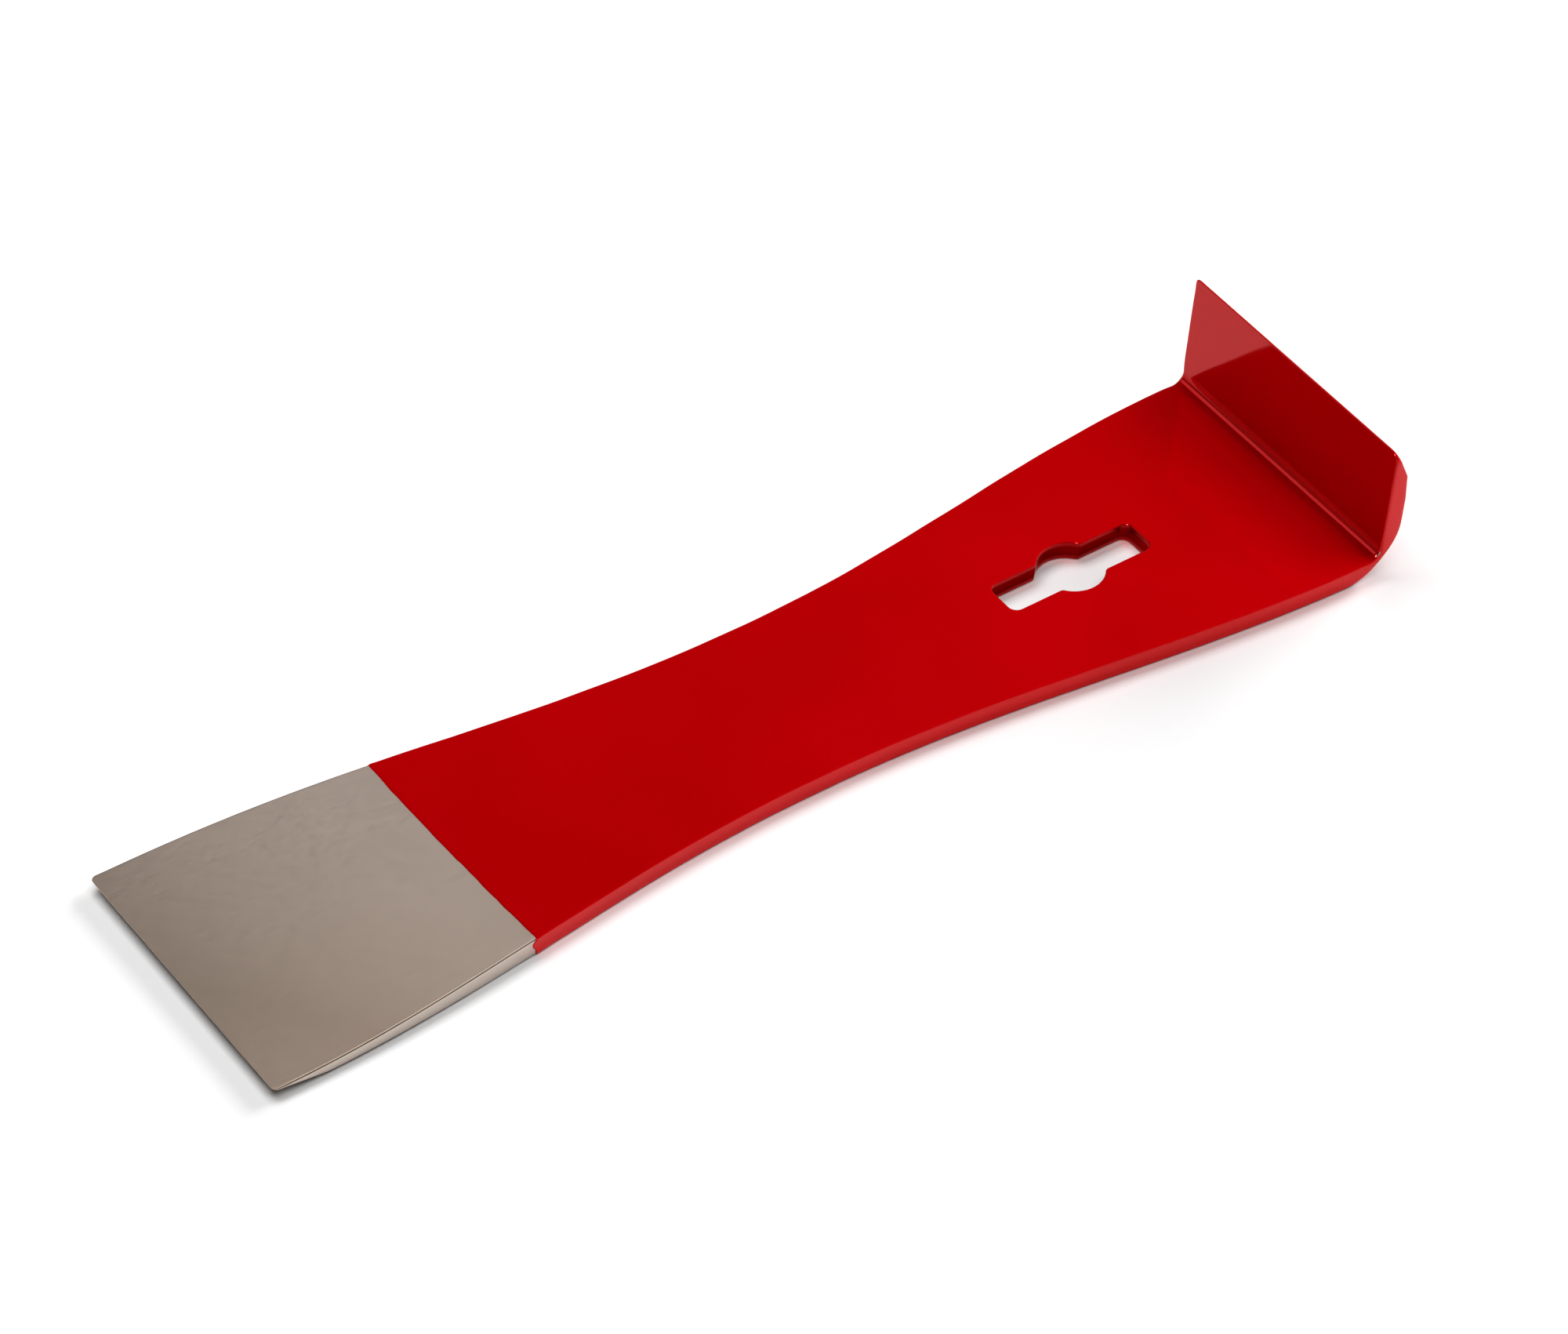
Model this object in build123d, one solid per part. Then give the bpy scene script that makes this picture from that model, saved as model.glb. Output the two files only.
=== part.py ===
from build123d import *
import math
import os

# A flat steel pry bar and scraper, of the kind used as a hive tool. One waisted plate is
# ground to an edge at one end and bent up into a bevelled lip at the other, with a keyhole
# nail slot near the bend. Enamel covers all of it but the blade.
# Millimetres, +X from the blade towards the lip, +Z up, origin under the middle of the box.
# Stations along the bar are given from the blade edge, and SHIFT takes them to the origin.

# Driving dimensions
LENGTH = 241.3  # blade edge to the back of the lip, 9 1/2 in
HEIGHT = 29.1  # resting face to the top of the lip
THICK = 4.1  # plate with its enamel on
COAT = 0.15  # enamel on every painted face
SHIFT = LENGTH / 2  # blade edge to the origin

# Plan outline: the ends flare out from the waist along half a cosine wave, raised to a power
END_HALF = 28.85  # half-width at the ends
WAIST_HALF = 19.1  # half-width at the waist
WAIST_X = 122.0  # station of the waist
BLADE_RUN = 118.0  # waist to full width, towards the blade
LIP_RUN = 115.0  # waist to full width, towards the lip
FLARE_POWER = 1.05  # above 1 keeps the waist slim for longer
OUTLINE_SPANS = 8  # spans of the outline curve on each side of the waist
BLADE_CORNER_R = 1.3  # blade corners, in plan
LIP_CORNER_R = 1.2  # top corners of the lip, seen from the end
ROUND_COAT = 0.35  # softened side edges of the enamel; the plate under it is sheared square

# Blade: scooped thinner from above, then ground from below to a blunt edge
PAINT_X = 53.9  # where the enamel starts
TAPER_X = 64.0  # where the blade starts to thin
SCOOP_BACK_X = 40.0  # the scoop's slope, set by these two control points
SCOOP_FRONT_X = 20.0
SCOOP_FRONT_Z = 2.5
GRIND_X = 11.0  # where the lower bevel starts
GRIND_Z = 0.45  # underside there
EDGE_LOW_Z = 2.05  # underside of the edge
EDGE_HIGH_Z = 2.3  # top of the edge

# Bend and lip
BEND_IN = 2.5  # inner radius of the bend
BEND_OUT = 11.5  # outer radius, so the plate is drawn thinner round the bend
EASE_Z = 17.0  # where the back of the lip starts to lean in
BEVEL_Z = 22.5  # where its bevel starts
BEVEL_IN = 1.0  # how far the back has leaned in by then
LAND = 0.35  # flat left on top of the lip

# Nail slot, measured inside the enamel
SLOT_X = 188.1  # station of its middle
SLOT_LONG = 32.1
SLOT_WIDE = 7.7
SLOT_CORNER_R = 1.7
EYE_DIAMETER = 12.7

COS_45 = math.sqrt(0.5)
MARGIN = 2.0  # how far the cutting shapes run past what they cut


def at(x, z):
    """A point of the side view, from its station and height."""
    return (x - SHIFT, z)


def half_width(x, inset):
    """Half-width of the plate at station x."""
    run = BLADE_RUN if x < WAIST_X else LIP_RUN
    wave = (1 - math.cos(math.pi * abs(x - WAIST_X) / run)) / 2
    return WAIST_HALF + (END_HALF - WAIST_HALF) * wave**FLARE_POWER - inset


def side_block(inset):
    """The side view of the plate, pulled across its whole width."""
    sole = inset
    deck = THICK - inset
    back = LENGTH - inset
    face = LENGTH - THICK + inset
    top = HEIGHT - inset
    r_in = BEND_IN + inset
    r_out = BEND_OUT - inset
    with BuildPart() as block:
        with BuildSketch(Plane.XZ):
            with BuildLine():
                Bezier(
                    at(0, EDGE_HIGH_Z),
                    at(SCOOP_FRONT_X, SCOOP_FRONT_Z),
                    at(SCOOP_BACK_X, deck),
                    at(TAPER_X, deck),
                )
                Line(at(TAPER_X, deck), at(face - r_in, deck))
                ThreePointArc(
                    at(face - r_in, deck),
                    at(face - r_in * (1 - COS_45), deck + r_in * (1 - COS_45)),
                    at(face, deck + r_in),
                )
                Polyline(
                    at(face, deck + r_in),
                    at(face, top),
                    at(LENGTH - THICK + LAND - inset, top),
                    at(back - BEVEL_IN, BEVEL_Z),
                    at(back, EASE_Z),
                    at(back, sole + r_out),
                )
                ThreePointArc(
                    at(back, sole + r_out),
                    at(back - r_out * (1 - COS_45), sole + r_out * (1 - COS_45)),
                    at(back - r_out, sole),
                )
                Polyline(
                    at(back - r_out, sole),
                    at(TAPER_X, sole),
                    at(GRIND_X, GRIND_Z),
                    at(0, EDGE_LOW_Z),
                    at(0, EDGE_HIGH_Z),
                )
            make_face()
        extrude(amount=END_HALF + MARGIN, both=True)
    return block.part


def plan_block(inset):
    """The plan outline of the plate, pulled up past the top of the lip."""
    blade_side = [WAIST_X * i / OUTLINE_SPANS for i in range(OUTLINE_SPANS)]
    lip_run = LENGTH - WAIST_X
    lip_side = [WAIST_X + lip_run * i / OUTLINE_SPANS for i in range(OUTLINE_SPANS + 1)]
    far = [(x - SHIFT, half_width(x, inset)) for x in blade_side + lip_side]
    near = [(x, -y) for x, y in far]
    with BuildPart() as block:
        with BuildSketch(Plane.XY.offset(-MARGIN)):
            with BuildLine():
                Spline(*far)
                Spline(*near)
                Line(far[0], near[0])
                Line(far[-1], near[-1])
            make_face()
        extrude(amount=HEIGHT + 2 * MARGIN)
        fillet(block.edges().filter_by(Axis.Z).group_by(Axis.X)[0], BLADE_CORNER_R)
    return block.part


def end_block(inset):
    """The end view: a block whose top corners round those of the lip."""
    with BuildPart() as block:
        with BuildSketch(Plane.YZ) as view:
            with Locations((0, HEIGHT / 2 - inset)):
                Rectangle(2 * half_width(LENGTH, inset) + COAT, HEIGHT)
            fillet(view.vertices().group_by(Axis.Y)[-1], LIP_CORNER_R)
        extrude(amount=LENGTH, both=True)
    return block.part


def slot_block(inset):
    """The keyhole nail slot: a long slot with a round eye in its middle."""
    with BuildPart() as block:
        with BuildSketch(Plane.XY.offset(-MARGIN)):
            with Locations((SLOT_X - SHIFT, 0)):
                RectangleRounded(
                    SLOT_LONG + 2 * inset,
                    SLOT_WIDE + 2 * inset,
                    SLOT_CORNER_R + inset,
                )
                Circle(EYE_DIAMETER / 2 + inset)
        extrude(amount=THICK + 2 * MARGIN)
    return block.part


def side_edges(solid, first_x):
    """The edges that run along the two sides of the plate, from station first_x on."""
    found = []
    for edge in solid.edges():
        middle = edge.position_at(0.5)
        station = middle.X + SHIFT
        beside = abs(abs(middle.Y) - half_width(station, 0)) < COAT
        across = abs(edge.tangent_at(0.5).Y) > COS_45
        if beside and not across and station > first_x:
            found.append(edge)
    return found


def plate(inset):
    """The tool without its slot, inset from the face of the enamel."""
    return side_block(inset) & plan_block(inset) & end_block(inset)


def steel_bar():
    """The bare plate: blade, waisted bar, bend and lip, with the nail slot pierced."""
    return plate(COAT) - slot_block(COAT)


def red_enamel(steel):
    """The enamel skin, a closed shell over everything past the paint line."""
    painted = Pos(PAINT_X - SHIFT + LENGTH / 2, 0, 0) * Box(LENGTH, LENGTH, LENGTH)
    body = plate(0) & painted
    body = body.fillet(ROUND_COAT, side_edges(body, PAINT_X + MARGIN))
    return body - slot_block(0) - steel


os.makedirs("parts", exist_ok=True)
bar = steel_bar()
export_step(bar, "parts/steel_bar.step")
export_step(red_enamel(bar), "parts/red_enamel.step")
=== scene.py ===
import math

import bpy
from mathutils import Matrix, Vector, geometry, noise


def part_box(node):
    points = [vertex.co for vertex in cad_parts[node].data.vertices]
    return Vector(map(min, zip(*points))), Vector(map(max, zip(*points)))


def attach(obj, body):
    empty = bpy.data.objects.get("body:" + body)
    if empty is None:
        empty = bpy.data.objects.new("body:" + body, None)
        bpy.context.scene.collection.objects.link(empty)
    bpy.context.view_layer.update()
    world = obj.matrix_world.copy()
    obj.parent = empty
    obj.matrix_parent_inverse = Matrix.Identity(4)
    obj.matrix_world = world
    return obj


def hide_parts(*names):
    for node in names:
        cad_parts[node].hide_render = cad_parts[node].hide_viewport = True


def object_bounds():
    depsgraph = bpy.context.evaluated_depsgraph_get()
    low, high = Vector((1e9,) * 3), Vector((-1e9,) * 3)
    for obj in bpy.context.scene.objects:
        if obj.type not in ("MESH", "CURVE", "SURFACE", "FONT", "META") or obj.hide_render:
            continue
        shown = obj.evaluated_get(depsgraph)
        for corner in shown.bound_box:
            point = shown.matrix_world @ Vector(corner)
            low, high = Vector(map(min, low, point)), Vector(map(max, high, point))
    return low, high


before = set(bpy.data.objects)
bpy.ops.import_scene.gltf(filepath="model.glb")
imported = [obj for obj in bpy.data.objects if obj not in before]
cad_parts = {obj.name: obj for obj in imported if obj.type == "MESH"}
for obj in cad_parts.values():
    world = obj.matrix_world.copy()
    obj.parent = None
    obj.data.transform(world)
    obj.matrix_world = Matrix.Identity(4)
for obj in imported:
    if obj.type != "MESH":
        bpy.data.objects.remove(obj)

# The looks of the hive tool: a ground steel bar, and the enamel skin over all but its blade.
# Shapes are worked out in millimetres and built in metres. A station is the distance from
# the blade edge, measured along the top face: straight along the bar, round the inside of
# the bend, then up the face of the lip. Near and far are the sides at -Y and +Y, and a side
# is written -1 or 1.

MM = 0.001
cad_low, cad_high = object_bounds()
STEEL, ENAMEL = "steel_bar", "red_enamel"

# ---------------------------------------------------------------- sizes
# These are the CAD's, apart from BEVEL_IN and LIP_CORNER_R, which are closer to the real bar.
LENGTH = (cad_high.x - cad_low.x) / MM
HEIGHT = (cad_high.z - cad_low.z) / MM
SHIFT = -cad_low.x / MM  # blade edge to the origin
PAINT_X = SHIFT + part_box(ENAMEL)[0].x / MM  # where the enamel starts
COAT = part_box(STEEL)[0].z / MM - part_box(ENAMEL)[0].z / MM  # enamel thickness
THICK = 4.1
END_HALF = 28.85  # half-width at both ends
WAIST_HALF = 19.1
WAIST_X = 122.0
BLADE_RUN = 118.0  # from the waist to full width, towards the blade
LIP_RUN = 115.0  # and towards the lip
FLARE_POWER = 1.05  # above 1 keeps the waist slim for longer
TAPER_X = 64.0  # where the blade starts to thin down
SCOOP = ((0.0, 2.3), (20.0, 2.5), (40.0, None), (TAPER_X, None))  # curve's poles; None is the deck
GRIND_X = 11.0  # length of the small bevel under the blade
GRIND_Z = 0.45  # height of its inner end
EDGE_LOW_Z = 2.05  # and of its outer end, at the blade edge
BEND_IN = 2.5  # inner radius of the bend
BEND_OUT = 11.5  # outer radius
EASE_Z = 17.0  # the back of the lip is upright up to here,
BEVEL_Z = 22.5  # leans in up to here,
BEVEL_IN = 0.5  # by this much, and is bevelled above
LAND = 0.35  # flat left on top of the lip
SLOT_X = 188.1
SLOT_LONG = 32.1
SLOT_WIDE = 7.7
SLOT_CORNER_R = 1.7
EYE_R = 6.35
THROAT_R = 0.95  # rounds the four points where the eye opens into the slot
BLADE_CORNER_R = 1.3
LIP_CORNER_R = {-1: 2.3, 1: 1.2}  # by side

BEND_X = LENGTH - THICK - BEND_IN  # station where the bend starts
BEND_Z = THICK + BEND_IN  # height where it ends
BEND_END = BEND_X + BEND_IN * math.pi / 2  # station there
LIP_END = BEND_END + HEIGHT - BEND_Z  # station of the top of the lip

# ---------------------------------------------------------------- finish of the surfaces
ROUND_ENAMEL = 0.34  # enamel flows round the edges
ROUND_STEEL = 0.3
ROUND_WAVER = 0.28  # how unevenly it does
ROUND_MOST = 0.46  # share of the thickness that a rounded edge can take
BEND_SOFTER = 1.2  # how much rounder the edge is where the plate was bent
SOFT_AT, SOFT_SPREAD = 2.0, 2.5  # where it is, past the start of the bend
SIDE_WAVER = 0.06  # waviness of the sheared sides
BOW = 0.5  # how far the bar is bowed towards the near side
BOW_X = 150.0  # where it is bowed most
BOW_RUN = 75.0  # length of the bow to either side
SLOT_Y = -0.2  # the slot was pierced this far off the middle

PAINT_SKEW = -0.0254  # slope of the paint line across the bar
PAINT_SAG = 0.2  # how far its middle sags towards the blade
SAG_CURVE, SAG_HALF = 2.25, 25.0  # shape of the sag across the bar
PAINT_RAG = 0.07  # raggedness of the line
PAINT_FADE = 6.0  # the rows get back to square within this length
SIDE_RUN = {-1: 1.0, 1: -0.3}  # how far the enamel ran on towards the blade edge, by side
RUN_DEPTH, RUN_SPREAD = 1.4, 0.9  # how far down the side it ran
RUN_EDGE, RUN_BLEND = 0.6, 0.4  # and how far in from the side that starts
THIN_RUN = 0.35  # length over which the film thins out at the line
THIN_SHARE = 0.3  # share of its thickness left there
THIN_REACH = 4.0  # the film is even beyond this
RIDGE = 0.03  # height of the faint ridge just inside the line
RIDGE_AT, RIDGE_SPREAD = 0.75, 0.4

PAINTED_SHADE_SKIP = 0.1  # depth in the slot at which the painted shade on its walls starts
PAINTED_SHADE_OVER = 0.7  # and over which it deepens

# ---------------------------------------------------------------- fineness of the meshes
EDGE_STEPS = 6  # over each rounded edge
WALL_STEPS = 4  # down the side between two of them
CORNER_STEPS, STRAIGHT_STEPS, THROAT_STEPS, EYE_STEPS = 8, 9, 6, 8  # round a quarter of the slot
CORNER_TURNS = [math.pi / 2 * k / 7 for k in range(8)]  # round each corner of the bar
GUARD = 0.07  # narrow band of facets that keeps flat faces flat up to their edges
EDGE_MARGINS = (0.0, GUARD, 0.35, 0.9, 1.8, 3.0)  # columns beside each edge
MIDDLE_COLUMNS = 22
COLUMNS = 2 * (len(EDGE_MARGINS) - 1) + MIDDLE_COLUMNS + 1
BEND_LEAD = 4.0  # the rows close up this far before the bend
LIP_FOOT = 0.6  # and open out again this far above it
TIP_GAP, TOP_GAP = 0.4, 0.2  # between a corner's rows and the even ones
PAINT_STEPS = (0.0, 0.04, 0.1, 0.18, 0.28, 0.4, 0.6, 0.9, 1.3, 1.9, 2.7, 3.8)  # rows at the line
PAINT_EVEN = 5.2  # where the even rows go on from there
BLOCK_REACH = (19.0, 9.5)  # the part of the grid that is refitted round the slot
LOOSE_PITCH = 1.15  # of the loose points in it
LOOSE_COUNT = 12  # rows of them to either side of the middle
LOOSE_ROW = 0.87  # distance of the rows, in pitches
LOOSE_CLEAR = 0.75  # kept clear of them round the slot,
END_CLEAR, SIDE_CLEAR = 0.8, 0.6  # and beside the grid
UNDER = 1e3  # a depth past every under face; in_space() holds it to the face

# ---------------------------------------------------------------- colours and light
DEEP_RED, BRIGHT_RED = (0.50, 0.0, 0.001), (0.56, 0.0, 0.002)
# painted shade: the red of the slot's walls
PAINTED_SHADE_RED = (0.17, 0.0, 0.001)
RED_GLINT = (1.0, 0.35, 0.35)
DULL_STEEL, BRIGHT_STEEL = (0.62, 0.505, 0.435), (0.67, 0.55, 0.475)
# painted shade: the steel's darker colour towards the blade edge and the near side
TIP_PAINTED_SHADE = (0.325, 0.252, 0.202)
# painted light: the paler steel of the upright walls
WALL_PAINTED_LIGHT = (0.60, 0.51, 0.445)
PAINTED_SHADE_ALONG = 0.7  # how far the steel gets from the tip's painted shade to its own tone at the paint line
PAINTED_LIGHT_ACROSS = 0.3  # less of it on the near side, and more on the far side, as painted shade and painted light,
PAINTED_LIGHT_HALF = 0.03  # this many metres off the middle
FLOOR_WHITE = (0.92, 0.92, 0.92)
FLOOR_HALF = 6.0
FLOOR_GAP = 0.00005  # keeps the floor from meeting the underside in the same plane
WALL_GLOW, ROOF_GLOW = 0.18, 0.01
WALL_TOP, ROOF_START = 0.36, 0.68  # upward part of the direction where one fades to the other

# The camera looks at TARGET from the near left, and is rolled a little about its own axis.
TARGET = Vector((0.010758, 0.009321, 0.0))
AZIMUTH, ELEVATION, ROLL = math.radians(-39.856), math.radians(43.707), math.radians(5.348)
DISTANCE = 1.06978
LENS, SENSOR = 138.68, 36.0
CLIP_END = 20.0


def smooth(t):
    t = min(max(t, 0.0), 1.0)
    return t * t * (3 - 2 * t)


def bell(x, middle, spread):
    """1 at the middle, falling to nothing within about two spreads."""
    return math.exp(-(((x - middle) / spread) ** 2))


def wander(value, seed):
    """Smooth noise along a line, about -1 to 1. Each seed is another line."""
    return 1.6 * noise.noise(Vector((value, seed * 7.31, seed * 3.17)))


# ---------------------------------------------------------------- the plate's two faces
def half_width(s):
    """Half-width at station s. The lip is as wide as the end of the bar."""
    x = min(s, LENGTH - THICK)
    run = BLADE_RUN if x < WAIST_X else LIP_RUN
    wave = (1 - math.cos(math.pi * abs(x - WAIST_X) / run)) / 2
    return WAIST_HALF + (END_HALF - WAIST_HALF) * wave**FLARE_POWER


def bow(x):
    """Sideways camber of the sheared plate at x."""
    turn = min(abs(x - BOW_X) / BOW_RUN, 1.0) * math.pi / 2
    return -BOW * math.cos(turn) ** 2


def blade_top(x, deck):
    """Height of the blade's scooped top face at x."""
    xs = [p[0] for p in SCOOP]
    zs = [deck if p[1] is None else p[1] for p in SCOOP]

    def bezier(c, t):
        u = 1 - t
        return c[0] * u**3 + 3 * c[1] * u * u * t + 3 * c[2] * u * t * t + c[3] * t**3

    low, high = 0.0, 1.0
    for _ in range(30):  # halves the range until it is far finer than the mesh
        middle = (low + high) / 2
        if bezier(xs, middle) < x:
            low = middle
        else:
            high = middle
    return bezier(zs, low)


def top_point(s, inset):
    """(x, z) of the top face at station s, inset from the enamel's face."""
    deck = THICK - inset
    if s < TAPER_X:
        return s, blade_top(max(s, 0), deck)
    if s < BEND_X:
        return s, deck
    if s < BEND_END:
        turn = (s - BEND_X) / BEND_IN
        r = BEND_IN + inset
        return BEND_X + r * math.sin(turn), BEND_Z - r * math.cos(turn)
    share = (s - BEND_END) / (LIP_END - BEND_END)
    return LENGTH - THICK + inset, BEND_Z + share * (HEIGHT - inset - BEND_Z)


def back_of_lip(z, inset):
    """x of the outer face of the lip at height z."""
    back = LENGTH - inset
    if z < BEND_OUT:
        r = BEND_OUT - inset
        return LENGTH - BEND_OUT + math.sqrt(max(r * r - (BEND_OUT - z) ** 2, 0))
    if z < EASE_Z:
        return back
    if z < BEVEL_Z:
        return back - BEVEL_IN * (z - EASE_Z) / (BEVEL_Z - EASE_Z)
    top = LENGTH - THICK + LAND - inset
    share = (z - BEVEL_Z) / (HEIGHT - inset - BEVEL_Z)
    return back - BEVEL_IN + share * (top - back + BEVEL_IN)


def under_point(s, inset):
    """(x, z) of the under face, opposite station s of the top face."""
    r = BEND_OUT - inset
    if s < GRIND_X:
        return s, EDGE_LOW_Z + (GRIND_Z - EDGE_LOW_Z) * max(s, 0) / GRIND_X
    if s < TAPER_X:
        return s, GRIND_Z + (inset - GRIND_Z) * (s - GRIND_X) / (TAPER_X - GRIND_X)
    if s < LENGTH - BEND_OUT:
        return s, inset
    reach = BEND_X - (LENGTH - BEND_OUT)
    if s < BEND_X:
        along = s - (LENGTH - BEND_OUT)
        return s, BEND_OUT - math.sqrt(r * r - along * along)
    first = math.asin(reach / r)
    if s < BEND_END:
        share = (s - BEND_X) / (BEND_END - BEND_X)
        turn = first + share * (math.pi / 2 - 2 * first)
        return LENGTH - BEND_OUT + r * math.sin(turn), BEND_OUT - r * math.cos(turn)
    z = top_point(s, inset)[1]
    return back_of_lip(z, inset), z


def in_space(s, y, depth, inset):
    """The point at station s and width y, depth mm below the top face, in metres."""
    a, b = top_point(s, inset), under_point(s, inset)
    gap = math.dist(a, b)
    share = min(max(depth / gap, 0.0), 1.0)
    x = a[0] + (b[0] - a[0]) * share
    z = a[1] + (b[1] - a[1]) * share
    return Vector(((x - SHIFT) * MM, (y + bow(x)) * MM, z * MM))


def thickness(s, inset):
    return math.dist(top_point(s, inset), under_point(s, inset))


# ---------------------------------------------------------------- rings round the edges
def rim_of_row(row, side, out, inset, waver):
    """(station, width) of the plate's edge at a row, moved out by out mm.
    A row is ("side", station), or a corner ("tip" or "end", angle)."""
    kind, value = row
    if kind == "side":
        slope = half_width(value + 0.5) - half_width(value - 0.5)
        size = math.hypot(slope, 1)
        dent = 0.5 + 0.5 * wander(value * 0.11, 3 + side)
        wide = half_width(value) - waver * SIDE_WAVER * dent
        return value - slope / size * out, side * (wide + (out - inset) / size)
    if kind == "tip":
        r, centre, sign = BLADE_CORNER_R, BLADE_CORNER_R, -1
    else:
        r = LIP_CORNER_R[side]
        centre, sign = LIP_END - r, 1
    wide = half_width(centre) - r
    across = (r + out - inset) * math.cos(value)
    return centre + sign * (r + out) * math.sin(value), side * (wide + across)


def station_of(row, side):
    """Station of the plate's edge at a row, held within the bar."""
    return min(max(rim_of_row(row, side, 0.0, 0.0, 0.0)[0], 0.0), LIP_END)


def edge_profile(gap, r):
    """(out, depth) steps over a rounded edge, down the side and under the other edge."""
    steps = [math.pi / 2 * k / EDGE_STEPS for k in range(EDGE_STEPS + 1)]
    over = [(-r * (1 - math.sin(a)), r * (1 - math.cos(a))) for a in steps]
    wall = [(0.0, r + (gap - 2 * r) * k / WALL_STEPS) for k in range(1, WALL_STEPS)]
    under = [(out, gap - depth) for out, depth in reversed(over)]
    return over + wall + under


def keyhole(out):
    """Points round the nail slot, moved out into the plate by out mm, anticlockwise."""
    a, b = SLOT_LONG / 2, SLOT_WIDE / 2
    rc, re, rt = SLOT_CORNER_R + out, EYE_R + out, THROAT_R - out
    corner = (a - SLOT_CORNER_R, b - SLOT_CORNER_R)
    throat_y = b + THROAT_R
    throat_x = math.sqrt((EYE_R + THROAT_R) ** 2 - throat_y**2)
    lean = math.atan2(throat_y, throat_x)
    points = [(a + out, 0.0)]
    for k in range(CORNER_STEPS + 1):
        turn = math.pi / 2 * k / CORNER_STEPS
        points.append((corner[0] + rc * math.cos(turn), corner[1] + rc * math.sin(turn)))
    for k in range(1, STRAIGHT_STEPS):
        points.append((corner[0] + (throat_x - corner[0]) * k / STRAIGHT_STEPS, b + out))
    for k in range(THROAT_STEPS + 1):
        turn = -math.pi / 2 - (math.pi / 2 - lean) * k / THROAT_STEPS
        points.append((throat_x + rt * math.cos(turn), throat_y + rt * math.sin(turn)))
    for k in range(1, EYE_STEPS + 1):
        turn = lean + (math.pi / 2 - lean) * k / EYE_STEPS
        points.append((re * math.cos(turn), re * math.sin(turn)))
    left = [(-x, y) for x, y in reversed(points[:-1])]
    upper = points + left
    lower = [(x, -y) for x, y in reversed(upper[1:-1])]
    return [(SLOT_X + x, SLOT_Y + y) for x, y in upper + lower]


# ---------------------------------------------------------------- the grid of a face
def stations(first, last, pitch):
    """Even stations from first up to last, which is left out, about pitch apart."""
    count = max(1, round((last - first) / pitch))
    return [first + (last - first) * k / count for k in range(count)]


def side_rows(rows):
    return [("side", s) for s in rows]


def lip_rows():
    """Rows from the end of the taper to the top of the lip."""
    ease = BEND_END + EASE_Z - BEND_Z
    bevel = BEND_END + BEVEL_Z - BEND_Z
    rows = stations(TAPER_X, BEND_X - BEND_LEAD, 2.2)
    rows += stations(BEND_X - BEND_LEAD, BEND_X - GUARD, 1.0)
    rows += [BEND_X - GUARD]
    rows += stations(BEND_X, BEND_END, 0.3)
    rows += [BEND_END, BEND_END + GUARD]
    rows += stations(BEND_END + LIP_FOOT, ease, 1.2)
    rows += stations(ease, bevel, 0.9)
    rows += stations(bevel, LIP_END - max(LIP_CORNER_R.values()) - TOP_GAP, 0.8)
    return side_rows(rows) + [("end", turn) for turn in CORNER_TURNS]


def steel_rows():
    rows = stations(BLADE_CORNER_R + TIP_GAP, GRIND_X, 1.0) + stations(GRIND_X, TAPER_X, 1.6)
    return [("tip", turn) for turn in reversed(CORNER_TURNS)] + side_rows(rows) + lip_rows()


def enamel_rows():
    rows = [PAINT_X + step for step in PAINT_STEPS] + stations(PAINT_X + PAINT_EVEN, TAPER_X, 1.6)
    return side_rows(rows) + lip_rows()


def columns_between(low, high):
    """Widths of a row's columns: close together beside each edge, and even between."""
    last = EDGE_MARGINS[-1]
    inner_low, inner_high = low + last, high - last
    ys = [low + margin for margin in EDGE_MARGINS[:-1]]
    for k in range(MIDDLE_COLUMNS + 1):
        ys.append(inner_low + (inner_high - inner_low) * k / MIDDLE_COLUMNS)
    return ys + [high - margin for margin in reversed(EDGE_MARGINS[:-1])]


def cdt_fill(outer, inner, extra):
    """Triangles between two loops of (key, (s, y)) points, with extra loose points."""
    points = outer + inner + extra
    flat = [Vector(p) for _, p in points]
    n, m = len(outer), len(inner)
    edges = [(k, (k + 1) % n) for k in range(n)]
    edges += [(n + k, n + (k + 1) % m) for k in range(m)]
    verts, _, faces, origin, _, _ = geometry.delaunay_2d_cdt(flat, edges, [], 1, 1e-6)
    keys = [points[o[0]][0] for o in origin]
    hole = [p for _, p in inner]
    kept = []
    for face in faces:
        centre = sum((verts[i] for i in face), Vector((0, 0))) / len(face)
        if not inside(centre, hole):
            kept.append([keys[i] for i in face])
    return kept


def inside(point, loop):
    """Whether the point is inside the closed loop of points."""
    hit = False
    for (ax, ay), (bx, by) in zip(loop, loop[1:] + loop[:1]):
        if (ay > point[1]) != (by > point[1]):
            if point[0] < ax + (point[1] - ay) * (bx - ax) / (by - ay):
                hit = not hit
    return hit


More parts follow.
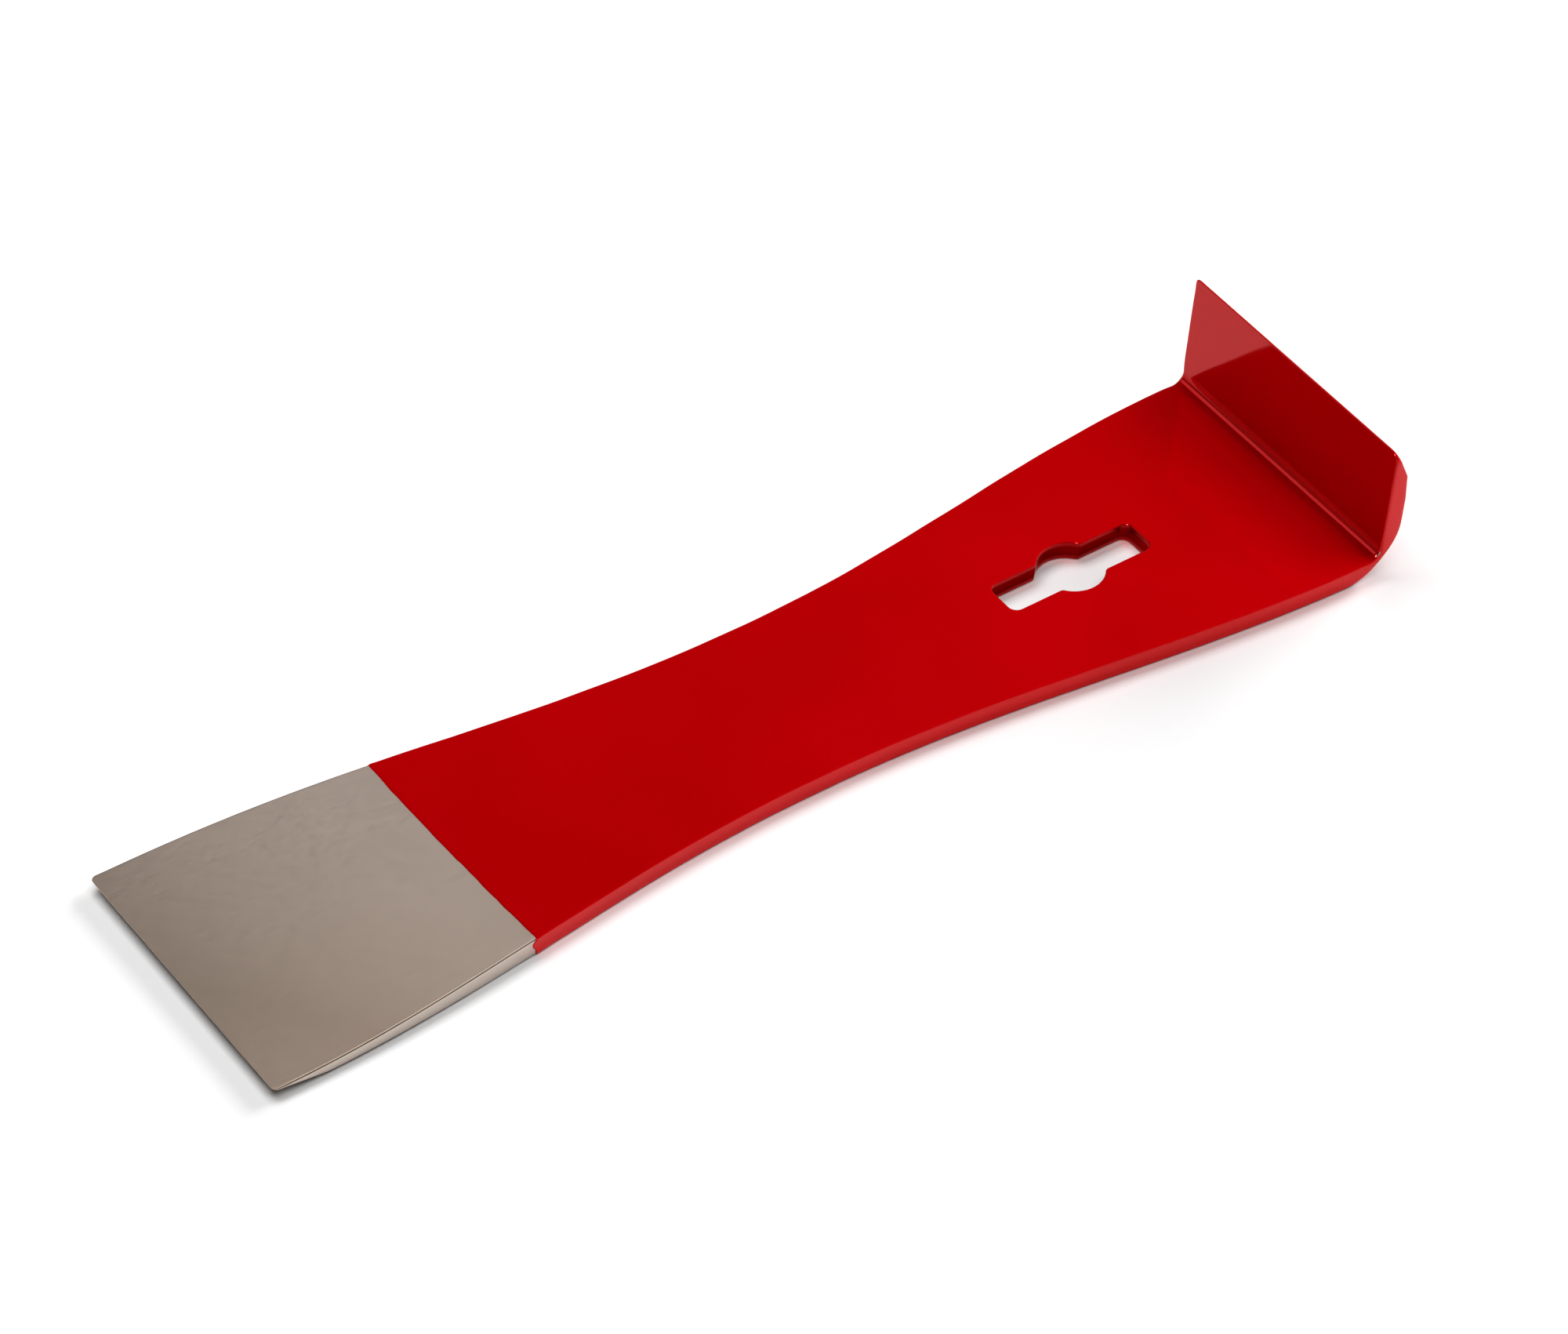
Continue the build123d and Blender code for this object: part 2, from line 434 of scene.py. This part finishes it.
class Skin:
    """The outer surface of the plate, as vertices and faces. inset_at(row, depth) says how
    far inside the enamel's face it lies, and waver how uneven it is. With a shift of its
    first rows, it starts at an open rim, whose vertices are in self.rim."""

    def __init__(self, rows, inset_at, rounding, waver=0.0, shift=None):
        self.rows = rows
        self.inset_at = inset_at
        self.rounding = rounding
        self.waver = waver
        self.shift = shift
        self.first_open = shift is not None
        self.verts = []
        self.faces = []
        self.painted_shade = []
        self.index = {}
        self.grid = {}
        self.grids()
        self.strips()
        self.slot()

    def vertex(self, key, s, y, depth, row):
        """A vertex is made once, under a key that says where it is."""
        if key not in self.index:
            self.index[key] = len(self.verts)
            self.verts.append(in_space(s, y, depth, self.inset_at(row, depth)))
            # painted shade weight: only the slot's walls get one
            self.painted_shade.append(slot_painted_shade(depth) if key[0] == "slot" else 0.0)
        return self.index[key]

    def loop(self, name, part, points, depth, row):
        """One vertex for each of the points."""
        return [self.vertex((name, part, q), s, y, depth, row) for q, (s, y) in enumerate(points)]

    def flat_inset(self, row):
        return self.inset_at(row, 0.0)

    def radius(self, row, side):
        """Radius of the rounded edge at a row."""
        s = station_of(row, side)
        r = self.rounding * (1 + self.waver * ROUND_WAVER * wander(s * 0.09, 9 + side))
        r *= 1 + self.waver * BEND_SOFTER * bell(s - BEND_X, SOFT_AT, SOFT_SPREAD)
        return min(r, ROUND_MOST * thickness(s, 0.0))

    def shifted(self, s, y, depth, row):
        if self.shift is None:
            return s
        return s + self.shift(y, depth, row[1] if row[0] == "side" else math.inf)

    def grids(self):
        """Rows and columns of vertices over the top and under faces."""
        for i, row in enumerate(self.rows):
            inset = self.flat_inset(row)
            s_near, y_near = rim_of_row(row, -1, -self.radius(row, -1), inset, self.waver)
            s_far, y_far = rim_of_row(row, 1, -self.radius(row, 1), inset, self.waver)
            for j, y in enumerate(columns_between(y_near, y_far)):
                s = s_near + (s_far - s_near) * (y - y_near) / (y_far - y_near)
                self.grid[i, j] = (s, y)
        self.block = self.find_block()
        for face in ("top", "under"):
            for i in range(len(self.rows) - 1):
                for j in range(COLUMNS - 1):
                    if self.in_block(i, j):
                        continue
                    quad = [(i, j), (i + 1, j), (i + 1, j + 1), (i, j + 1)]
                    ids = [self.grid_vertex(face, *corner) for corner in quad]
                    self.add_face(face, ids)

    def add_face(self, face, ids):
        self.faces.append(ids if face == "top" else ids[::-1])

    def grid_vertex(self, face, i, j):
        s, y = self.grid[i, j]
        row = self.rows[i]
        depth = 0.0 if face == "top" else UNDER
        return self.vertex((face, i, j), self.shifted(s, y, depth, row), y, depth, row)

    def find_block(self):
        """First and last row, then first and last column, of the part round the slot."""
        reach_s, reach_y = BLOCK_REACH
        rows = [i for i, row in enumerate(self.rows) if abs(station_of(row, 1) - SLOT_X) < reach_s]
        middle = rows[len(rows) // 2]
        cols = [j for j in range(COLUMNS) if abs(self.grid[middle, j][1]) < reach_y]
        return rows[0], rows[-1], cols[0], cols[-1]

    def in_block(self, i, j):
        i0, i1, j0, j1 = self.block
        return i0 <= i < i1 and j0 <= j < j1

    def strips(self):
        """The rounded sides and ends: one profile for each vertex of the grid's border."""
        n, m = len(self.rows) - 1, COLUMNS - 1
        border = [("near", i, 0) for i in range(n + 1)]
        border += [("end", n, j) for j in range(1, m)]
        border += [("far", i, m) for i in range(n, -1, -1)]
        if not self.first_open:
            border += [("tip", 0, j) for j in range(m - 1, 0, -1)]
        profiles = [self.profile(*place) for place in border]
        pairs = list(zip(profiles, profiles[1:]))
        if not self.first_open:
            pairs.append((profiles[-1], profiles[0]))
        for one, two in pairs:
            for k in range(len(one) - 1):
                self.faces.append([one[k], one[k + 1], two[k + 1], two[k]])
        if self.first_open:
            top = [self.grid_vertex("top", 0, j) for j in range(m + 1)]
            under = [self.grid_vertex("under", 0, j) for j in range(m, -1, -1)]
            self.rim = top + profiles[-1][1:-1] + under + profiles[0][1:-1][::-1]

    def profile(self, part, i, j):
        """Vertices from the top face over the edge to the under face, at one of the border's."""
        row = self.rows[i]
        side = -1 if part == "near" else 1
        r = self.radius(row, side)
        inset = self.flat_inset(row)
        gap = thickness(station_of(row, side), inset)
        steps = edge_profile(gap, min(r, ROUND_MOST * gap))
        ids = [self.grid_vertex("top", i, j)]
        for k, (out, depth) in list(enumerate(steps))[1:-1]:
            if part in ("near", "far"):
                s, y = rim_of_row(row, side, out, inset, self.waver)
            else:
                way = 1 if part == "end" else -1
                s = self.grid[i, j][0] + way * (out + r)
                y = self.grid[i, j][1]
            s = self.shifted(s, y, depth, row)
            ids.append(self.vertex(("edge", part, i, j, k), s, y, depth, row))
        return ids + [self.grid_vertex("under", i, j)]

    def slot(self):
        """The nail slot's rounded walls, and the two faces refitted round it."""
        i0, i1, _, _ = self.block
        row = self.rows[(i0 + i1) // 2]
        inset = self.flat_inset(row)
        rings = []
        for k, (out, depth) in enumerate(edge_profile(THICK - 2 * inset, self.rounding)):
            rings.append(self.loop("slot", k, keyhole(inset - out), depth, row))
        for one, two in zip(rings, rings[1:]):
            for q in range(len(one)):
                nxt = (q + 1) % len(one)
                self.faces.append([one[q], one[nxt], two[nxt], two[q]])
        self.refit("top", 0.0, rings[0], inset, row)
        self.refit("under", UNDER, rings[-1], inset, row)

    def refit(self, face, depth, ring, inset, row):
        """Fills a face between the grid and the ring round the slot."""
        i0, i1, j0, j1 = self.block
        border = [(i, j0) for i in range(i0, i1)] + [(i1, j) for j in range(j0, j1)]
        border += [(i, j1) for i in range(i1, i0, -1)] + [(i0, j) for j in range(j1, j0, -1)]
        guard = keyhole(inset + self.rounding + GUARD)
        loose = self.loose_points(inset + self.rounding)
        outer = [(self.grid_vertex(face, i, j), self.grid[i, j]) for i, j in border]
        inner = list(zip(self.loop("guard", face, guard, depth, row), guard))
        extra = list(zip(self.loop("loose", face, loose, depth, row), loose))
        for triangle in cdt_fill(outer, inner, extra):
            self.add_face(face, triangle)
        for q in range(len(ring)):
            nxt = (q + 1) % len(ring)
            self.add_face(face, [inner[q][0], inner[nxt][0], ring[nxt], ring[q]])

    def loose_points(self, out):
        """Points that grade the mesh from the slot's fine ring to the grid."""
        i0, i1, j0, _ = self.block
        low_s = self.grid[i0, j0][0] + END_CLEAR
        high_s = self.grid[i1, j0][0] - END_CLEAR
        low_y = max(self.grid[i, j0][1] for i in range(i0, i1 + 1)) + SIDE_CLEAR
        hull = fat_keyhole(out + LOOSE_CLEAR)
        points = []
        for p in range(int((high_s - low_s) / LOOSE_PITCH) + 1):
            for q in range(-LOOSE_COUNT, LOOSE_COUNT + 1):
                s = low_s + p * LOOSE_PITCH + (LOOSE_PITCH / 2 if q % 2 else 0)
                y = q * LOOSE_PITCH * LOOSE_ROW
                if s < high_s and abs(y) < -low_y and not inside((s, y), hull):
                    points.append((s, y))
        return points


def fat_keyhole(out):
    """A rougher outline round the slot, moved out by more than its throats allow."""
    a, b = SLOT_LONG / 2 + out, SLOT_WIDE / 2 + out
    r = EYE_R + out
    reach = math.sqrt(r * r - b * b)
    arc = [math.pi * k / 24 for k in range(25)]
    upper = [(a, 0), (a, b), (reach, b)]
    upper += [(r * math.cos(t), r * math.sin(t)) for t in arc if r * math.sin(t) > b]
    upper += [(-reach, b), (-a, b), (-a, 0)]
    lower = [(x, -y) for x, y in reversed(upper[1:-1])]
    return [(SLOT_X + x, SLOT_Y + y) for x, y in upper + lower]


def slot_painted_shade(depth):
    """Painted shade down the slot's wall, where less light reaches it: 0 at either face, 1
    between.
    """
    above, below = depth - PAINTED_SHADE_SKIP, THICK - PAINTED_SHADE_SKIP - depth
    return smooth(above / PAINTED_SHADE_OVER) * smooth(below / PAINTED_SHADE_OVER)


def make_object(name, verts, faces, material, painted_shade=None):
    mesh = bpy.data.meshes.new(name)
    mesh.from_pydata(verts, [], faces)
    # the painted shade weights, read by the material
    if painted_shade:
        mesh.attributes.new("painted_shade", "FLOAT", "POINT").data.foreach_set("value", painted_shade)
    mesh.validate()
    mesh.shade_smooth()
    mesh.update()
    obj = bpy.data.objects.new(name, mesh)
    bpy.context.scene.collection.objects.link(obj)
    mesh.materials.append(material)
    return obj


# ---------------------------------------------------------------- the two pieces
def steel_piece(material):
    skin = Skin(steel_rows(), lambda row, depth: COAT, ROUND_STEEL)
    return make_object("ground_steel_bar", skin.verts, skin.faces, material)


def paint_shift(y, depth, station):
    """How far the paint line strays from square, fading out within a few millimetres."""
    fade = 1 - smooth((station - PAINT_X) / PAINT_FADE)
    if fade <= 0:
        return 0.0
    stray = PAINT_SKEW * y - PAINT_SAG * (1 - SAG_CURVE * (y / SAG_HALF) ** 2)
    long_wave, short_wave = wander(y * 0.6 + depth * 0.3, 5), wander(y * 2.3 + depth, 6)
    stray += PAINT_RAG * (long_wave + 0.7 * short_wave)
    on_side = 0.0
    if 0 < depth < THICK:
        on_side = smooth((abs(y) - half_width(PAINT_X) + RUN_EDGE) / RUN_BLEND)
    run = SIDE_RUN[-1 if y < 0 else 1] * bell(depth, RUN_DEPTH, RUN_SPREAD)
    return fade * (stray - on_side * run)


def paint_inset(row, depth):
    """Inset of the enamel's face, which thins to nothing much at the paint line."""
    kind, station = row
    if kind != "side" or station > PAINT_X + THIN_REACH:
        return 0.0
    along = station - PAINT_X
    arch = math.sqrt(1 - (1 - min(along / THIN_RUN, 1.0)) ** 2)
    share = THIN_SHARE + (1 - THIN_SHARE) * arch
    ridge = RIDGE * bell(along, RIDGE_AT, RIDGE_SPREAD) if depth < THICK / 2 else 0.0
    return COAT * (1 - share) - ridge


def enamel_piece(material):
    """The enamel's face and its lining against the steel, joined round the paint line."""
    outside = Skin(enamel_rows(), paint_inset, ROUND_ENAMEL, waver=1.0, shift=paint_shift)
    lining = Skin(enamel_rows(), lambda row, depth: COAT, ROUND_STEEL, shift=paint_shift)
    base = len(outside.verts)
    faces = outside.faces + [[base + i for i in face][::-1] for face in lining.faces]
    count = len(outside.rim)
    for k in range(count):
        nxt = (k + 1) % count
        across = [base + lining.rim[nxt], base + lining.rim[k]]
        faces.append([outside.rim[k], outside.rim[nxt]] + across)
    verts = outside.verts + lining.verts
    painted_shade = outside.painted_shade + lining.painted_shade
    return make_object("red_enamel_skin", verts, faces, material, painted_shade)


# ---------------------------------------------------------------- materials
def nodes_of(name):
    material = bpy.data.materials.new(name)
    material.use_nodes = True
    tree = material.node_tree
    return material, tree, tree.nodes["Principled BSDF"]


def feed(tree, socket, value):
    """Links a socket to another node's output, or sets it to a colour or a number."""
    if isinstance(value, bpy.types.NodeSocket):
        tree.links.new(value, socket)
    else:
        socket.default_value = (*value, 1) if isinstance(value, tuple) else value


def noise_node(tree, coordinates, scale, detail=2.0, roughness=0.5):
    node = tree.nodes.new("ShaderNodeTexNoise")
    node.inputs["Scale"].default_value = scale
    node.inputs["Detail"].default_value = detail
    node.inputs["Roughness"].default_value = roughness
    tree.links.new(coordinates, node.inputs["Vector"])
    return node.outputs["Fac"]


def mapped(tree, scale=(1, 1, 1)):
    """The object's own coordinates, scaled."""
    place = tree.nodes.new("ShaderNodeTexCoord")
    node = tree.nodes.new("ShaderNodeMapping")
    node.inputs["Scale"].default_value = scale
    tree.links.new(place.outputs["Object"], node.inputs["Vector"])
    return node.outputs["Vector"]


def split(tree, vector):
    node = tree.nodes.new("ShaderNodeSeparateXYZ")
    tree.links.new(vector, node.inputs["Vector"])
    return node.outputs


def computed(tree, operation, *values):
    node = tree.nodes.new("ShaderNodeMath")
    node.operation = operation
    for socket, value in zip(node.inputs, values):
        feed(tree, socket, value)
    return node.outputs["Value"]


def ranged(tree, value, low, high, from_low=0.3, from_high=0.7, ease="LINEAR"):
    """The value, taken from one range to another and held within it."""
    node = tree.nodes.new("ShaderNodeMapRange")
    node.interpolation_type = ease
    node.inputs["From Min"].default_value = from_low
    node.inputs["From Max"].default_value = from_high
    node.inputs["To Min"].default_value = low
    node.inputs["To Max"].default_value = high
    tree.links.new(value, node.inputs["Value"])
    return node.outputs["Result"]


def mixed(tree, share, first, second):
    """A mix of two colours, each of which is a tuple or another node's output."""
    node = tree.nodes.new("ShaderNodeMix")
    node.data_type = "RGBA"
    feed(tree, node.inputs["A"], first)
    feed(tree, node.inputs["B"], second)
    feed(tree, node.inputs["Factor"], share)
    return node.outputs["Result"]


def bumped(tree, height, distance, under=None):
    node = tree.nodes.new("ShaderNodeBump")
    node.inputs["Strength"].default_value = 1.0
    node.inputs["Distance"].default_value = distance
    tree.links.new(height, node.inputs["Height"])
    if under:
        tree.links.new(under, node.inputs["Normal"])
    return node.outputs["Normal"]


def enamel_material():
    """Glossy sprayed enamel. The slot's walls carry painted shade where the mesh weights them: a
    darker red, and metallic there, which dims the floor's reflection in them.
    """
    material, tree, shader = nodes_of("red_enamel")
    place = mapped(tree)
    blotch = ranged(tree, noise_node(tree, place, scale=28, detail=3), 0, 1)
    held = tree.nodes.new("ShaderNodeAttribute")
    held.attribute_name = "painted_shade"
    painted_shade = held.outputs["Fac"]
    # painted shade: the slot's walls turn a darker red
    red = mixed(tree, painted_shade, mixed(tree, blotch, DEEP_RED, BRIGHT_RED), PAINTED_SHADE_RED)
    gloss = ranged(tree, noise_node(tree, place, scale=60, detail=3), 0.06, 0.09)
    swell = bumped(tree, noise_node(tree, place, scale=90), distance=0.00004)
    peel = bumped(tree, noise_node(tree, place, scale=700), distance=0.000003, under=swell)
    feed(tree, shader.inputs["Base Color"], red)
    # painted shade: the slot's walls turn metallic, dimming the floor's reflection in them
    feed(tree, shader.inputs["Metallic"], ranged(tree, painted_shade, 0.3, 1.0, 0, 1))
    feed(tree, shader.inputs["Roughness"], gloss)
    feed(tree, shader.inputs["Specular IOR Level"], 0.4)
    feed(tree, shader.inputs["Specular Tint"], RED_GLINT)
    feed(tree, shader.inputs["Normal"], peel)
    return material


def steel_with_painted_light(tree):
    """Ground steel with painted light: painted shade towards the blade edge and the near side,
    lighter towards the far side, and upright walls painted paler.
    """
    patch = ranged(tree, noise_node(tree, mapped(tree), scale=45, detail=3), 0, 1)
    place = split(tree, mapped(tree))
    along = ranged(tree, place["X"], 0, PAINTED_SHADE_ALONG, -SHIFT * MM, (PAINT_X - SHIFT) * MM)
    across = ranged(tree, place["Y"], -PAINTED_LIGHT_ACROSS, PAINTED_LIGHT_ACROSS, -PAINTED_LIGHT_HALF, PAINTED_LIGHT_HALF)
    ground = mixed(tree, patch, DULL_STEEL, BRIGHT_STEEL)
    # painted light: darker towards the tip and the near side, lighter towards the far side
    face = mixed(tree, computed(tree, "ADD", along, across), TIP_PAINTED_SHADE, ground)
    # painted light: upright walls are painted paler than the top face
    surface = tree.nodes.new("ShaderNodeNewGeometry")
    upward = computed(tree, "ABSOLUTE", split(tree, surface.outputs["Normal"])["Z"])
    return mixed(tree, ranged(tree, upward, 1, 0, 0.1, 0.6), face, WALL_PAINTED_LIGHT)


def steel_material():
    """Satin steel with fine grain along the bar."""
    material, tree, shader = nodes_of("ground_steel")
    grain = noise_node(tree, mapped(tree, (1, 14, 14)), scale=420, detail=4, roughness=0.6)
    feed(tree, shader.inputs["Base Color"], steel_with_painted_light(tree))
    feed(tree, shader.inputs["Metallic"], 1.0)
    feed(tree, shader.inputs["Roughness"], ranged(tree, grain, 0.34, 0.44))
    feed(tree, shader.inputs["Normal"], bumped(tree, grain, distance=0.000004))
    return material


# ---------------------------------------------------------------- build
def build_object():
    steel = steel_piece(steel_material())
    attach(steel, "root")
    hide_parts(STEEL)
    enamel = enamel_piece(enamel_material())
    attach(enamel, "root")
    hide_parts(ENAMEL)
    return steel, enamel


# ---------------------------------------------------------------- stage, light and camera
def floor_material():
    material, tree, shader = nodes_of("floor")
    feed(tree, shader.inputs["Base Color"], FLOOR_WHITE)
    feed(tree, shader.inputs["Roughness"], 0.9)
    feed(tree, shader.inputs["Specular IOR Level"], 0.0)
    return material


def build_floor():
    signs = ((-1, -1), (1, -1), (1, 1), (-1, 1))
    corners = [Vector((x * FLOOR_HALF, y * FLOOR_HALF, 0)) for x, y in signs]
    floor = make_object("floor", corners, [[0, 1, 2, 3]], floor_material())
    floor.location.z = cad_low.z - FLOOR_GAP
    return floor


def softbox(name, place, aim, size, power, lit, glossy=True, diffuse=True):
    """A rectangular light at place that faces aim and lights only the objects in lit. Its
    first side runs as near to +X as that allows. It can be made to leave no highlight, or
    nothing but its highlight."""
    light = bpy.data.lights.new(name, "AREA")
    light.shape = "RECTANGLE"
    light.size, light.size_y = size
    light.energy = power
    obj = bpy.data.objects.new(name, light)
    back = (Vector(place) - Vector(aim)).normalized()
    along = (Vector((1, 0, 0)) - back * back.x).normalized()
    turn = Matrix((along, back.cross(along), back)).transposed().to_4x4()
    obj.matrix_world = Matrix.Translation(place) @ turn
    obj.visible_glossy = glossy
    obj.visible_diffuse = diffuse
    obj.light_linking.receiver_collection = lit
    bpy.context.scene.collection.objects.link(obj)


def group(name, objects):
    made = bpy.data.collections.new(name)
    for obj in objects:
        made.objects.link(obj)
    return made


def build_room():
    """Pale walls round the table, and darkness above them."""
    world = bpy.data.worlds.new("room")
    world.use_nodes = True
    tree = world.node_tree
    glow = tree.nodes["Background"]
    place = tree.nodes.new("ShaderNodeTexCoord")
    upward = split(tree, place.outputs["Generated"])["Z"]
    level = ranged(tree, upward, WALL_GLOW, ROOF_GLOW, WALL_TOP, ROOF_START, ease="SMOOTHSTEP")
    feed(tree, glow.inputs["Strength"], level)
    feed(tree, glow.inputs["Color"], (1.0, 1.0, 1.0))
    bpy.context.scene.world = world


def build_light(steel, enamel, floor):
    """Lights that fall on the bar alone, and lights that fall on the floor alone."""
    bar = group("lit_bar", [steel, enamel])
    blade = group("lit_blade", [steel])
    paint = group("lit_paint", [enamel])
    table = group("lit_floor", [floor])
    middle = (0.0, 0.0, 0.0)
    bend = (0.11, 0.0, 0.005)
    softbox("right", (0.50, -0.12, 0.62), middle, (0.45, 0.60), 5.4, bar, glossy=False)
    softbox("front", (0.60, -0.85, 0.25), middle, (0.60, 0.40), 3.8, bar, glossy=False)
    softbox("overhead", (0.16, 0.15, 0.89), middle, (0.30, 0.30), 5.0, paint, glossy=False)
    softbox("blade_box", (0.02, 0.15, 0.90), middle, (0.60, 0.50), 5.3, blade)
    softbox("far_wall", (-0.75, 0.64, 0.52), bend, (0.45, 0.30), 0.62, bar)
    softbox("spark", (-0.78, -0.60, 0.71), bend, (0.35, 0.35), 36.0, paint, diffuse=False)
    softbox("table_key", (0.0, 1.32, 2.64), middle, (2.64, 1.32), 56.0, table)
    softbox("table_fill", (0.0, -0.77, 2.64), middle, (2.64, 1.54), 29.0, table)
    softbox("table_low", (4.6, 0.9, 1.8), middle, (1.5, 2.6), 235.0, table)
    build_room()
    bpy.context.scene.view_settings.view_transform = "Standard"


def build_camera():
    data = bpy.data.cameras.new("camera")
    data.sensor_width = SENSOR
    data.lens = LENS
    data.clip_end = CLIP_END
    flat = math.cos(ELEVATION)
    back = Vector((math.sin(AZIMUTH) * flat, -math.cos(AZIMUTH) * flat, math.sin(ELEVATION)))
    right = (-back).cross(Vector((0, 0, 1))).normalized()
    up = right.cross(-back)
    turned_right = right * math.cos(ROLL) + up * math.sin(ROLL)
    turned_up = up * math.cos(ROLL) - right * math.sin(ROLL)
    turn = Matrix((turned_right, turned_up, back)).transposed().to_4x4()
    camera = bpy.data.objects.new("camera", data)
    camera.matrix_world = Matrix.Translation(TARGET + back * DISTANCE) @ turn
    bpy.context.scene.collection.objects.link(camera)
    bpy.context.scene.camera = camera


steel_bar, enamel_skin = build_object()
build_light(steel_bar, enamel_skin, build_floor())
build_camera()
